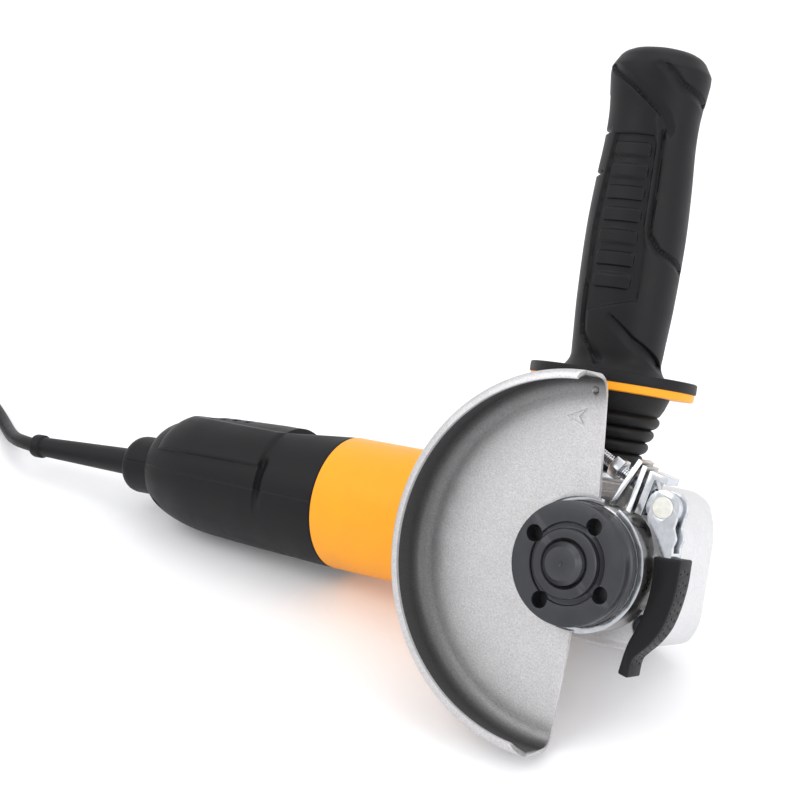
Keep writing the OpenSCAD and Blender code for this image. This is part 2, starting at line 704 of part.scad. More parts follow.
saddle_dir = 77.2;      // direction that the saddle's face runs in
saddle_u = [27.6, 36];
module clamp_saddle() color(c_steel) difference() {
    on_spindle() translate([pin_at.x, pin_at.y, saddle_u[0]]) linear_extrude(saddle_u[1] - saddle_u[0])
        rotate([0, 0, saddle_dir + 90]) {
            translate([eye_r + saddle_gap, -9.5]) square([2.4, 14.5]);
            translate([eye_r + saddle_gap - 4.6, -9.5]) square([7, 2.4]);
        }
    clamp_hole();
}

module clamp_screw() color(c_steel) {
    difference() {
        union() {
            on_spindle() translate([pin_at.x, pin_at.y, 0])
                rod(barrel_r, [screw_u - barrel_half, screw_u + barrel_half]);
            on_screw() rod(2, [barrel_r - 1, screw_len]);
        }
        on_spindle() translate([pin_at.x, pin_at.y, 0]) rod(pin_r + fit, [screw_u - 3, screw_u + 3]);
    }
}

module clamp_nut() color(c_steel) on_screw() difference() {
    translate([0, 0, 19.6]) cylinder(r = 4, h = 3.6, $fn = 6);
    rod(2.05, [19, 24]);
}

// ---- quick release lever ---------------------------------------------------------------------

arm_outline = [[17.6, 19.6], [18.6, 16.4], [20.2, 13.6], [21.4, 10.4], [22.6, 7.4], [24.1, 6.6], [25, 1], [24.6, -7],
    [22.4, -14.5], [24.2, -15.6], [27, -7.6], [27.6, 1], [28.1, 7.7], [27.8, 10.4], [28.6, 13],
    [27.2, 16.4], [28, 20.8]];
web_outline = [[24.1, 7], [25, 1], [24.6, -7], [22.4, -14.5], [24.2, -15.6], [27, -7.6], [27.6, 1],
    [28.1, 7.7], [27.8, 10.4], [28.6, 13], [26.4, 13], [25.4, 9]];

module lever_arm() color(c_steel) on_spindle() difference() {
    union() {
        for (z = [cheek_u[0], cheek_u[1] - cheek_t]) translate([0, 0, z]) linear_extrude(cheek_t) {
            polygon(arm_outline);
            translate(pin_at) circle(eye_r);
        }
        translate([0, 0, cheek_u[0]]) linear_extrude(cheek_u[1] - cheek_u[0]) polygon(web_outline);
    }
    translate([pin_at.x, pin_at.y, 0]) rod(pin_r, [20, 40]);
}

module lever_pin() color(c_steel) on_spindle() translate([pin_at.x, pin_at.y, 0])
    rod(pin_r - 0.01, pin_u);

sleeve_inner = [[22.7, 6.7], [23.3, 0.6], [23.2, -5], [22.3, -11], [20.5, -17], [18.6, -22], [17.7, -26],
    [16.8, -32]];
sleeve_outer = [[20.4, -32.8], [20.8, -27.3], [22.8, -24.4], [26.1, -20.6], [29.1, -15.4], [31, -8.6],
    [32, -1], [32, 7.2]];
tongue_outline = [[24, 8], [25, 1], [24.6, -7], [22.3, -14.6], [24.2, -15.8], [27, -7.6], [27.6, 1],
    [28.2, 8]];

module lever_sleeve() color(c_rubber) on_spindle() difference() {
    translate([0, 0, sleeve_u[0]]) linear_extrude(sleeve_u[1] - sleeve_u[0])
        polygon(concat(curve(sleeve_inner, 3), curve(sleeve_outer, 3)));
    translate([0, 0, cheek_u[0] - 0.05]) linear_extrude(cheek_u[1] - cheek_u[0] + 0.1)
        offset(delta = 0.06) polygon(tongue_outline);
}

// ---- mains lead ------------------------------------------------------------------------------

relief_end = boss_end + relief_len;
relief_foot = boss_end - 16;
relief_bead = [boss_end - 14, boss_end - 11];   // bead that keeps the strain relief in the shells
cord_r = cord_d / 2;

module cord_clamp() color(c_black) on_motor() on_lead() difference() {
    translate([-8, -5.6, lead_from]) cube([16, 11.2, 7]);
    rod(cord_r + 0.05, [lead_from - 1, lead_from + 8]);
    for (x = [-1, 1]) translate([x * 5.8, 0, lead_from + 3.5]) rotate([90, 0, 0])
        cylinder(r = 1.2, h = 20, center = true);
}

module strain_relief() color(c_rubber) on_motor() on_lead() difference() {
    union() {
        rod(5.9, [relief_foot, boss_end]);
        rod(7.4, relief_bead);
        translate([0, 0, boss_end]) cylinder(r1 = 5.65, r2 = 4.2, h = relief_len - 5);
        translate([0, 0, relief_end - 5]) rod(5, [0, 5]);
    }
    rod(cord_r + 0.05, [relief_foot - 1, relief_end + 1]);
}

// Where a point of the tool's own frame comes to lie once the tool is stood on the bench
function lean_back(p) = [p.x, p.y * cos(lean) + p.z * sin(lean), p.z * cos(lean) - p.y * sin(lean)];
function drop_tail(p) = [p.x * cos(tail_drop) - p.z * sin(tail_drop), p.y,
    p.z * cos(tail_drop) + p.x * sin(tail_drop)];
function stood(p) = drop_tail(lean_back(p)) + stand_shift;

// A point of the lead's axis inside the strain relief, at distance b rearward
function lead_axis(b) = [-lead_from - (b - lead_from) * cos(lead_droop), 0,
    -lead_low - (b - lead_from) * sin(lead_droop)];

// The lead's way along the bench, from the strain relief to its coil, and from the coil to the plug
lead_route = [[-167, -0.4, 11.4], [-175, 2.6, 9.6], [-183.5, 7.3, 7.4], [-192, 12.9, 5.4],
    [-201, 19.1, 3.9], [-211.5, 25.8, 3.1], [-224, 33, 3], [-237, 39.2, 3], [-249.5, 43.9, 3],
    [-260, 47.2, 3]];
coil_at = [-275, 8];
coil_mid_r = 33;
coil_half_w = 2 * cord_d;
coil_h = 2 * cord_d;
end_route = [[-279, -33.8, 9], [-269, -36, 8.7], [-258.5, -40.4, 6.6], [-248, -46, 4.6],
    [-238, -51.2, 4.4], [-228, -54.8, 6.4], [-216, -56, 8]];
plug_at = [-220, -56, 8];

module cord_tube() color(c_rubber)
    sweep(concat([stood(lead_axis(relief_end - 6)), stood(lead_axis(relief_end + 2))], lead_route), cord_r, 10);

module cord_end() color(c_rubber) sweep(end_route, cord_r, 10);

module cord_coil() color(c_rubber) translate([coil_at.x, coil_at.y, 0])
    ring(coil_mid_r - coil_half_w, coil_mid_r + coil_half_w, [0, coil_h]);

module on_plug() translate(plug_at) rotate([0, 90, 0]) children();

// Flat moulded plug: local z along its pins, x down, y across
plug_body_z = [14, 50];
module plug_body() color(c_black) on_plug() difference() {
    union() {
        translate([0, 0, 2]) cylinder(r1 = 4.2, r2 = 6, h = 14);
        translate([0, 0, plug_body_z[0]]) rotate([90, 0, 90]) translate([0, 0, -7.5])
            linear_extrude(15) polygon([[-7, 0], [7, 0], [14, 9], [17, 20], [17, 36], [-17, 36],
                [-17, 20], [-14, 9]]);
    }
    rod(cord_r + 0.05, [0, 5]);
    for (s = [-1, 1]) translate([0, s * 9.5, 0]) rod(2.4, [plug_body_z[1] - 8, plug_body_z[1] + 1]);
}

module plug_pins() color("gold") on_plug() for (s = [-1, 1]) translate([0, s * 9.5, 0]) {
    rod(2.38, [plug_body_z[1] - 7.9, plug_body_z[1] + 18]);
    translate([0, 0, plug_body_z[1] + 18]) cylinder(r1 = 2.38, r2 = 1.4, h = 1);
}

// ---- assembly --------------------------------------------------------------------------------

stand() gear_housing();
stand() bearing_flange();
stand() flange_screws();
stand() housing_screws();
stand() motor_housing();
stand() rear_shell_upper();
stand() rear_shell_lower();
stand() shell_screws();
stand() spindle();
stand() driven_gear();
stand() spindle_bearing_outer();
stand() spindle_bearing_inner();
stand() spindle_bearing_balls();
stand() spindle_seal();
stand() spindle_bush();
stand() inner_flange();
stand() locknut();
stand() armature_shaft();
stand() bevel_pinion();
stand() armature_core();
stand() armature_windings();
stand() commutator();
stand() cooling_fan();
stand() front_bearing_outer();
stand() front_bearing_inner();
stand() rear_bearing_outer();
stand() rear_bearing_inner();
stand() armature_bearing_balls();
stand() rear_bearing_sleeve();
stand() stator_core();
stand() stator_windings();
stand() brush_holders();
stand() carbon_brushes();
stand() brush_springs();
stand() switch_block();
stand() switch_slider();
stand() switch_link();
stand() lock_button();
stand() lock_spring();
stand() handle_stud();
stand() handle_grip();
stand() handle_disc();
stand() handle_ring();
stand() handle_boot();
stand() guard_shell();
stand() clamp_band();
stand() clamp_screw();
stand() clamp_nut();
stand() clamp_saddle();
stand() lever_arm();
stand() lever_pin();
stand() lever_sleeve();
stand() cord_clamp();
stand() strain_relief();
cord_tube();
cord_coil();
cord_end();
plug_body();
plug_pins();
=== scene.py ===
import json
from math import atan2, cos, degrees, pi, radians, sin, sqrt

import bmesh
import bpy
import numpy as np
from mathutils import Matrix, Vector


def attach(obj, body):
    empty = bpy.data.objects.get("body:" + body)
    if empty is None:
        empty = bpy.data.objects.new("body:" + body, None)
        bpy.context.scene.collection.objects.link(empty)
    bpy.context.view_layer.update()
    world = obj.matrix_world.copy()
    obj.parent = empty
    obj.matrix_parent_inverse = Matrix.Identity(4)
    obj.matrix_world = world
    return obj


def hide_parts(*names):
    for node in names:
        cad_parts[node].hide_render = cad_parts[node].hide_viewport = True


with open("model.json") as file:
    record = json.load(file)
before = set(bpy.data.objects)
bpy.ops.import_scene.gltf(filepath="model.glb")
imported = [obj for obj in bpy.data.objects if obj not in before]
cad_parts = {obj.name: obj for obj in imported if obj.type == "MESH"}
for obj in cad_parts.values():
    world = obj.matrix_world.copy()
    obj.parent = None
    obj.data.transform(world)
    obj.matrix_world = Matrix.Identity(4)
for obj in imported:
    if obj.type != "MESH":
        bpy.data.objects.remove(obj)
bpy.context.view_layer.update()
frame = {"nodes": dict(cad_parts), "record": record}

# ---- frames and main sizes, in millimetres ------------------------------------------------------

MM = 0.001
LEAN = 25.2                     # the tool leans back about its motor axis
TAIL_DROP = 4.4                 # and its tail lies lower than its nose
STAND_SHIFT = (128.6, 0, 37.69)
STAND = (Matrix.Translation(STAND_SHIFT) @ Matrix.Rotation(radians(-TAIL_DROP), 4, "Y")
         @ Matrix.Rotation(radians(-LEAN), 4, "X"))
SPINDLE = Matrix.Rotation(radians(90), 4, "X")      # z outward, x forward, y to the handle
MOTOR = Matrix.Rotation(radians(-90), 4, "Y")       # z rearward, x to the handle, y to the back
HANDLE_X, HANDLE_Y = -15, -8
HANDLE = Matrix.Translation((HANDLE_X, HANDLE_Y, 0))
LEAD_FROM, LEAD_LOW, LEAD_DROOP = 198, 1, 1.6       # the lead leaves low and droops a little
LEAD = (MOTOR @ Matrix.Translation((-LEAD_LOW, 0, LEAD_FROM))
        @ Matrix.Rotation(radians(-LEAD_DROOP), 4, "Y") @ Matrix.Translation((0, 0, -LEAD_FROM)))

GUARD_R, GUARD_BACK, GUARD_DEPTH, SHEET = 61, 41.3, 18.2, 1.5
NUT_R, FLANGE_FACE, NUT_FACE, NUT_HUB = 20, 45, 50.5, 52.5
SPINDLE_END = 55
BODY_R, SEAM_B, TAIL_END, BOSS_END, WALL = 25.2, 120, 214, 229, 2.4
BOSS_R, LEAD_BORE = 11.7, 6.05
BOOT_TOP, RING_TOP, DISC_TOP, HANDLE_TOP, DISC_R = 56.6, 59.3, 63, 173.5, 28.5
BOSS_TOP = 30
PIN = Vector((22.6, 22.1))      # lever pin, on the spindle's plane
CORD_R = 3


# ---- camera, floor and light --------------------------------------------------------------------

def make_camera():
    camera = bpy.data.objects.new("camera", bpy.data.cameras.new("camera"))
    camera.data.lens = 73.98
    camera.data.clip_start = 0.01
    turn, pitch, roll = 34.62, 23.85, -1.62
    camera.matrix_world = (Matrix.Translation((0.34188, -0.44656, 0.3169))
                           @ Matrix.Rotation(radians(turn), 4, "Z")
                           @ Matrix.Rotation(radians(90 - pitch), 4, "X")
                           @ Matrix.Rotation(radians(roll), 4, "Z"))
    bpy.context.scene.collection.objects.link(camera)
    bpy.context.scene.camera = camera


def area_light(name, place, aim, size, watts, colour=(1, 1, 1)):
    lamp = bpy.data.lights.new(name, "AREA")
    lamp.shape, lamp.size, lamp.size_y = "RECTANGLE", *size
    lamp.energy, lamp.color = watts, colour
    o = bpy.data.objects.new(name, lamp)
    o.location = place
    o.rotation_euler = (Vector(aim) - Vector(place)).to_track_quat("-Z", "Y").to_euler()
    bpy.context.scene.collection.objects.link(o)


def make_studio():
    world = bpy.data.worlds.new("studio")
    world.use_nodes = True
    world.node_tree.nodes["Background"].inputs["Color"].default_value = (0.985, 0.99, 1, 1)
    world.node_tree.nodes["Background"].inputs["Strength"].default_value = 1.08
    bpy.context.scene.world = world
    bpy.context.scene.view_settings.view_transform = "Standard"
    area_light("key", (-0.5, -0.7, 1.1), (0.05, 0, 0.05), (0.9, 0.9), 4.5)
    area_light("top", (0.25, 0.35, 1.2), (0.05, 0, 0.05), (1.2, 0.8), 3)
    area_light("side", (1.2, -0.2, 0.5), (0.1, 0, 0.08), (0.6, 0.9), 3.5)
    bpy.ops.mesh.primitive_plane_add(size=12)
    floor = bpy.context.object
    floor.name = "floor"
    floor.data.materials.append(finish("floor_white", (0.87, 0.87, 0.88), 0.42,
                                       mottle=0.004, specular=0.35, glow=0.08))


# ---- materials ------------------------------------------------------------------------------------

def finish(name, colour, rough, metal=0.0, mottle=0.05, mottle_size=9, grain=0.0, grain_size=0.5,
           speckle=0.0, rough_spread=0.06, edge=0.0, specular=0.5, glow=0.0, streak=None, fade=None):
    """A procedural surface. mottle is the slow change of colour over mottle_size, speckle the change
    of colour from grain to grain, grain the height of the grain, both sizes in millimetres; edge
    lightens worn edges and streak stretches the grain along one axis, as brushing does. fade names
    a value kept at the mesh's points that darkens the colour as painted shade."""
    made = bpy.data.materials.new(name)
    made.use_nodes = True
    tree = made.node_tree
    shader = tree.nodes["Principled BSDF"]
    shader.inputs["Metallic"].default_value = metal
    shader.inputs["Specular IOR Level"].default_value = specular
    shader.inputs["Emission Color"].default_value = (*colour, 1)
    shader.inputs["Emission Strength"].default_value = glow

    def node(kind, **inputs):
        made_node = tree.nodes.new("ShaderNode" + kind)
        for key, value in inputs.items():
            made_node.inputs[key.replace("_", " ")].default_value = value
        return made_node

    def wire(a, out, b, into):
        tree.links.new(a.outputs[out], b.inputs[into])

    where = node("TexCoord")
    slow = node("TexNoise", Scale=1 / (mottle_size * MM), Detail=4.0, Roughness=0.6)
    wire(where, "Object", slow, "Vector")
    fine = node("TexNoise", Scale=1 / (grain_size * MM), Detail=2.0, Roughness=0.55)
    if streak:
        stretch = node("Mapping", Scale=streak)
        wire(where, "Object", stretch, "Vector")
        wire(stretch, "Vector", fine, "Vector")
    else:
        wire(where, "Object", fine, "Vector")

    def shade(source, into, spread):
        """Multiplies the colour so far by 1 +- spread, following a noise."""
        level = node("MapRange", From_Min=0.3, From_Max=0.7, To_Min=1 - spread, To_Max=1 + spread)
        wire(source, "Fac", level, "Value")
        mix = tree.nodes.new("ShaderNodeVectorMath")
        mix.operation = "SCALE"
        if into is None:
            mix.inputs[0].default_value = colour
        else:
            tree.links.new(into, mix.inputs[0])
        wire(level, "Result", mix, "Scale")
        return mix.outputs["Vector"]

    tint = shade(slow, None, mottle)
    if speckle:
        tint = shade(fine, tint, speckle)
    if edge:
        worn = node("NewGeometry")
        ramp = node("MapRange", From_Min=0.52, From_Max=0.6, To_Min=0.0, To_Max=edge)
        wire(worn, "Pointiness", ramp, "Value")
        lift = tree.nodes.new("ShaderNodeMix")
        lift.data_type = "RGBA"
        wire(ramp, "Result", lift, "Factor")
        tree.links.new(tint, lift.inputs["A"])
        lift.inputs["B"].default_value = tuple(min(1, 0.25 + 1.3 * c) for c in colour) + (1,)
        tint = lift.outputs["Result"]
    # painted shade: the value kept at the mesh's points darkens the colour
    if fade:
        stored = node("Attribute")
        stored.attribute_name = fade
        painted_shade_level = node("MapRange", From_Min=0.0, From_Max=1.0, To_Min=1.0, To_Max=0.16)
        wire(stored, "Fac", painted_shade_level, "Value")
        dark = tree.nodes.new("ShaderNodeVectorMath")
        dark.operation = "SCALE"
        tree.links.new(tint, dark.inputs[0])
        wire(painted_shade_level, "Result", dark, "Scale")
        tint = dark.outputs["Vector"]
    tree.links.new(tint, shader.inputs["Base Color"])
    level = node("MapRange", From_Min=0.3, From_Max=0.7, To_Min=rough - rough_spread,
                 To_Max=rough + rough_spread)
    wire(slow, "Fac", level, "Value")
    wire(level, "Result", shader, "Roughness")
    if grain:
        bump = node("Bump", Strength=1.0, Distance=grain * MM)
        wire(fine, "Fac", bump, "Height")
        wire(bump, "Normal", shader, "Normal")
    return made


make_camera()
YELLOW = finish("yellow_moulding", (0.93, 0.36, 0.01), 0.42, mottle=0.03, grain=0.03, grain_size=0.45,
                specular=0.3)
BLACK = finish("black_moulding", (0.008, 0.008, 0.009), 0.47, mottle=0.12, grain=0.03,
               grain_size=0.4, edge=0.03, specular=0.17)
RUBBER = finish("black_rubber", (0.007, 0.007, 0.008), 0.48, mottle=0.15, grain=0.02, grain_size=0.6,
                edge=0.03, specular=0.2)
CAST = finish("blasted_casting", (0.71, 0.71, 0.72), 0.5, metal=0.8, mottle=0.04, grain=0.09,
              grain_size=0.9, speckle=0.05)
# through fade, the inside of the guard's rim gets painted shade and painted dark reflection
GUARD = finish("blasted_sheet", (0.56, 0.55, 0.555), 0.45, metal=0.85, mottle=0.04, grain=0.07,
               grain_size=0.55, speckle=0.14, edge=0.12, fade="rim")
ZINC = finish("bright_zinc", (0.52, 0.54, 0.57), 0.22, metal=1.0, mottle=0.12, mottle_size=4,
              grain=0.02, grain_size=1.2, edge=0.35)
BAND = finish("dull_zinc", (0.34, 0.33, 0.32), 0.3, metal=1.0, mottle=0.2, mottle_size=5,
              grain=0.02, grain_size=1.2, edge=0.7)
OXIDE = finish("black_oxide", (0.05, 0.051, 0.057), 0.38, metal=0.7, mottle=0.1, grain=0.012,
               grain_size=0.35, edge=0.08)
STEEL = finish("ground_steel", (0.6, 0.6, 0.62), 0.27, metal=1.0, mottle=0.05, grain=0.01,
               grain_size=0.3, streak=(1, 1, 0.15))
COPPER = finish("enamelled_copper", (0.66, 0.26, 0.1), 0.34, metal=0.9, grain=0.15, grain_size=0.8,
                streak=(0.2, 1, 1))
BRASS = finish("brass", (0.75, 0.53, 0.22), 0.3, metal=1.0, mottle=0.08, grain=0.01)
LAMINATED = finish("laminations", (0.2, 0.2, 0.22), 0.45, metal=0.8, speckle=0.3, grain=0.1,
                   grain_size=0.5, streak=(1, 0.05, 0.05))
CARBON = finish("pressed_carbon", (0.03, 0.03, 0.033), 0.6, speckle=0.3, grain=0.03, grain_size=0.25)
CREAM = finish("pin_face", (0.75, 0.74, 0.68), 0.4, metal=0.6, mottle=0.1, mottle_size=2, grain=0.02)

SLOT_FINISH = {"cast_aluminium": CAST, "yellow_plastic": YELLOW, "black_plastic": BLACK,
               "black_rubber": RUBBER, "black_steel": OXIDE, "bright_steel": STEEL,
               "guard_steel": GUARD, "zinc_plate": ZINC, "copper": COPPER, "brass": BRASS,
               "laminated_steel": LAMINATED, "carbon": CARBON}
NODE_SLOT = {s["node"]: s["material_slot"] for s in frame["record"]["subparts"]}
BODY_OF = {n: b for b, nodes in frame["record"]["behaviour"]["bodies"].items() for n in nodes}


def finish_frame():
    """Gives every CAD node the procedural finish of its slot."""
    for name, o in frame["nodes"].items():
        o.data.materials.clear()
        o.data.materials.append(SLOT_FINISH[NODE_SLOT[name]])


# ---- mesh tools -----------------------------------------------------------------------------------

def tidied(bm):
    bmesh.ops.remove_doubles(bm, verts=bm.verts, dist=1e-4)
    bmesh.ops.dissolve_degenerate(bm, edges=bm.edges, dist=1e-4)
    bmesh.ops.recalc_face_normals(bm, faces=bm.faces)
    mesh = bpy.data.meshes.new("shape")
    bm.to_mesh(mesh)
    bm.free()
    return mesh


def loft(rings, loop=False, ring_open=False, caps=True):
    """Joins rings of equally many points. loop joins the last ring to the first one."""
    bm = bmesh.new()
    rows = [[bm.verts.new(p) for p in ring] for ring in rings]
    pairs = list(zip(rows, rows[1:])) + ([(rows[-1], rows[0])] if loop else [])
    n = len(rows[0])
    for a, b in pairs:
        for i in range(n - 1 if ring_open else n):
            j = (i + 1) % n
            bm.faces.new((a[i], a[j], b[j], b[i]))
    if caps and not loop:
        bm.faces.new(rows[0])
        bm.faces.new(reversed(rows[-1]))
    return tidied(bm)


def lathe(profile, steps=96):
    """Turns a closed outline of (radius, height) about z."""
    turned = [[(r * cos(a), r * sin(a), z) for r, z in profile]
              for a in (2 * pi * i / steps for i in range(steps))]
    return loft(turned, loop=True)


def prism(outline, z0, z1):
    return loft([[(x, y, z) for x, y in outline] for z in (z0, z1)])


def block(lo, hi):
    return prism([(lo[0], lo[1]), (hi[0], lo[1]), (hi[0], hi[1]), (lo[0], hi[1])], lo[2], hi[2])


def rod(r, z0, z1, steps=48, at=(0, 0)):
    return prism([(at[0] + r * cos(2 * pi * i / steps), at[1] + r * sin(2 * pi * i / steps))
                  for i in range(steps)], z0, z1)


def rounded(corners, radii, steps=5):
    """An outline whose corners are arcs. radii is one radius, or one for each corner."""
    n = len(corners)
    radii = [radii] * n if isinstance(radii, (int, float)) else radii
    line = []
    for i, (corner, r) in enumerate(zip(corners, radii)):
        here = Vector(corner)
        before = Vector(corners[i - 1]) - here
        after = Vector(corners[(i + 1) % n]) - here
        half = before.angle(after) / 2
        if r < 1e-3 or half > radians(88):
            line.append(tuple(here))
            continue
        reach = min(r / max(abs(sin(half) / cos(half)), 1e-6),
                    0.48 * min(before.length, after.length))
        a, b = here + before.normalized() * reach, here + after.normalized() * reach
        for k in range(steps + 1):
            t = k / steps
            line.append(tuple((1 - t) ** 2 * a + 2 * t * (1 - t) * here + t * t * b))
    return line


def smooth_line(points, steps):
    """Points on the smooth curve through the given ones."""
    p = [Vector(q) for q in points]
    line = []
    for i in range(len(p) - 1):
        a, b, c, d = p[max(i - 1, 0)], p[i], p[i + 1], p[min(i + 2, len(p) - 1)]
        for k in range(steps):
            f = k / steps
            line.append(0.5 * (2 * b + f * (c - a) + f * f * (2 * a - 5 * b + 4 * c - d)
                               + f ** 3 * (3 * b - a - 3 * c + d)))
    return line + [p[-1]]


def solid(mesh):
    o = bpy.data.objects.new("solid", mesh)
    bpy.context.scene.collection.objects.link(o)
    return o


def bake(o):
    """Applies the object's modifiers to its mesh."""
    graph = bpy.context.evaluated_depsgraph_get()
    mesh = bpy.data.meshes.new_from_object(o.evaluated_get(graph))
    o.modifiers.clear()
    o.data = mesh
    return o


def combine(o, operation, meshes):
    """Cuts the meshes out of the object, or joins them to it."""
    tools = [solid(m) for m in meshes]
    for tool in tools:
        change = o.modifiers.new("combine", "BOOLEAN")
        change.operation, change.solver, change.object = operation, "EXACT", tool
    bake(o)
    for tool in tools:
        bpy.data.objects.remove(tool)
    return o


def cut(o, *meshes):
    return combine(o, "DIFFERENCE", meshes)


def soften(o, width, segments=2, angle=32):
    """Rounds the edges that are sharper than angle."""
    edge = o.modifiers.new("edges", "BEVEL")
    edge.width, edge.segments, edge.limit_method = width, segments, "ANGLE"
    edge.angle_limit = radians(angle)
    edge.use_clamp_overlap = True
    edge.miter_outer = "MITER_ARC"
    return bake(o)


def place(o, name, local, node, look=None, body=None, smooth=38, hides=()):
    """Stands a finished piece on the bench and lets it stand for its CAD node."""
    o.name = name
    o.data.name = name
    o.data.transform(Matrix.Scale(MM, 4) @ STAND @ local)
    o.data.shade_smooth()
    o.data.set_sharp_from_angle(angle=radians(smooth))
    o.data.materials.clear()
    o.data.materials.append(look or SLOT_FINISH[NODE_SLOT[node]])
    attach(o, body or BODY_OF[node])
    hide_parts(node, *hides)
    return o


def cad_copy(node):
    """A welded copy of a CAD node's mesh with its flat faces whole, still in the row frame."""
    bm = bmesh.new()
    bm.from_mesh(frame["nodes"][node].data)
    bmesh.ops.remove_doubles(bm, verts=bm.verts, dist=2e-6)
    bmesh.ops.dissolve_limit(bm, angle_limit=radians(0.6), verts=bm.verts, edges=bm.edges,
                             delimit={"NORMAL"})
    bmesh.ops.recalc_face_normals(bm, faces=bm.faces)
    mesh = bpy.data.meshes.new(node)
    bm.to_mesh(mesh)
    bm.free()
    mesh.transform(STAND.inverted() @ Matrix.Scale(1 / MM, 4))
    return solid(mesh)


def soft_edged(node, width, look=None, name=None, segments=2):
    """A CAD node with its edges rounded, as moulding, casting or pressing leaves them."""
    o = soften(cad_copy(node), width, segments)
    return place(o, name or node + ".shape", Matrix.Identity(4), node, look)


# ---- the mains lead -------------------------------------------------------------------------------

RELIEF_OUT = 60
LEAD_ROUTE = [(-167, -0.4, 11.4), (-175, 2.6, 9.6), (-183.5, 7.3, 7.4), (-192, 12.9, 5.4),
              (-201, 19.1, 3.9), (-211.5, 25.8, 3.1), (-224, 33, 3), (-237, 39.2, 3),
              (-249.5, 43.9, 3), (-260, 47.2, 3)]
COIL_AT = Vector((-275, 8, 0))
COIL_R = (42, 24)               # outer and inner turn of each layer
COIL_START, COIL_LEAVE = 73, 265
END_ROUTE = [(-279, -33.8, 9), (-269, -36, 8.7), (-258.5, -40.4, 6.6), (-248, -46, 4.6),
             (-238, -51.2, 4.4), (-228, -54.8, 6.4), (-216, -56, 8)]


def coil_points():
    """Four turns on the bench from the outside in, then four more on top of them back out."""
    steps, slide = 45, 80       # points in a turn, degrees over which a turn moves over
    outer, inner = COIL_R
    turns = (outer - inner) // (2 * CORD_R) + 1
    points = []
    last = steps * (2 * turns - 1) + round(steps * (COIL_LEAVE - COIL_START) / 360)
    for k in range(1, last):
        turn, at = divmod(k, steps)
        share = max(0, (at / steps * 360 - (360 - slide)) / slide)
        moved = share * share * (3 - 2 * share)
        if turn < turns:
            r = outer - 2 * CORD_R * (turn + (moved if turn < turns - 1 else 0))
            z = CORD_R * (1 + (2 * moved if turn == turns - 1 else 0))
        else:
            r, z = inner + 2 * CORD_R * (turn - turns + moved), 3 * CORD_R
        a = radians(COIL_START + k * 360 / steps)
        points.append(COIL_AT + Vector((r * cos(a), r * sin(a), z)))
    return points


def make_lead():
    exit_at, first = [(STAND @ LEAD @ Vector((0, 0, BOSS_END + RELIEF_OUT + out))) * MM
                      for out in (0, 2)]
    route = [Vector(p) * MM for p in LEAD_ROUTE]
    end = [Vector(p) * MM for p in END_ROUTE]
    line = (smooth_line([exit_at, first, *route], 6) + [p * MM for p in coil_points()]
            + smooth_line(end, 6))
    curve = bpy.data.curves.new("mains_lead", "CURVE")
    curve.dimensions = "3D"
    curve.bevel_depth, curve.bevel_resolution = CORD_R * MM, 5
    curve.use_fill_caps = True
    spline = curve.splines.new("POLY")
    spline.points.add(len(line) - 1)
    for point, p in zip(spline.points, line):
        point.co = (*p, 1)
    spline.use_smooth = True
    lead = bpy.data.objects.new("mains_lead", curve)
    bpy.context.scene.collection.objects.link(lead)
    curve.materials.append(RUBBER)
    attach(lead, "tool")
    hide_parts("cord_tube", "cord_coil", "cord_end")
    make_plug()
    return lead


def make_plug():
    return soft_edged("plug_body", 1.2, BLACK, "plug_body.moulding", segments=3)


def make_relief():
    out = BOSS_END
    line = [(3.05, out - 16), (5.9, out - 16), (5.9, out - 14), (7.4, out - 14), (7.4, out - 11),
            (5.9, out - 11), (5.65, out), (4.2, out + RELIEF_OUT - 6.5),
            *[(4.2 + 0.8 * sin(radians(a)), out + RELIEF_OUT - 5.6 + a / 90) for a in (0, 30, 60, 90)],
            (5, out + RELIEF_OUT - 1.6),
            *[(3.8 + 1.2 * cos(radians(a)), out + RELIEF_OUT - 1.2 + 1.2 * sin(radians(a)))
              for a in (0, 30, 60, 90)],
            (3.05, out + RELIEF_OUT)]
    place(solid(lathe(line)), "strain_relief.moulding", LEAD, "strain_relief")


# ---- gear head ------------------------------------------------------------------------------------

def make_gear_head():
    """The castings get the fillets of a cast part: fine voxels, smoothed, then thinned out."""
    for node, voxel, passes in (("gear_housing", 0.6, 7), ("bearing_flange", 0.5, 4)):
        o = cad_copy(node)
        remesh = o.modifiers.new("voxels", "REMESH")
        remesh.mode, remesh.voxel_size = "VOXEL", voxel
        melt = o.modifiers.new("fillets", "SMOOTH")
        melt.factor, melt.iterations = 0.5, passes
        thin = o.modifiers.new("thin", "DECIMATE")
        thin.ratio = 0.3
        place(bake(o), node + ".casting", Matrix.Identity(4), node, smooth=60)
    for node in ("flange_screws", "housing_screws"):
        soft_edged(node, 0.25)
    soft_edged("lock_button", 0.7, segments=3)


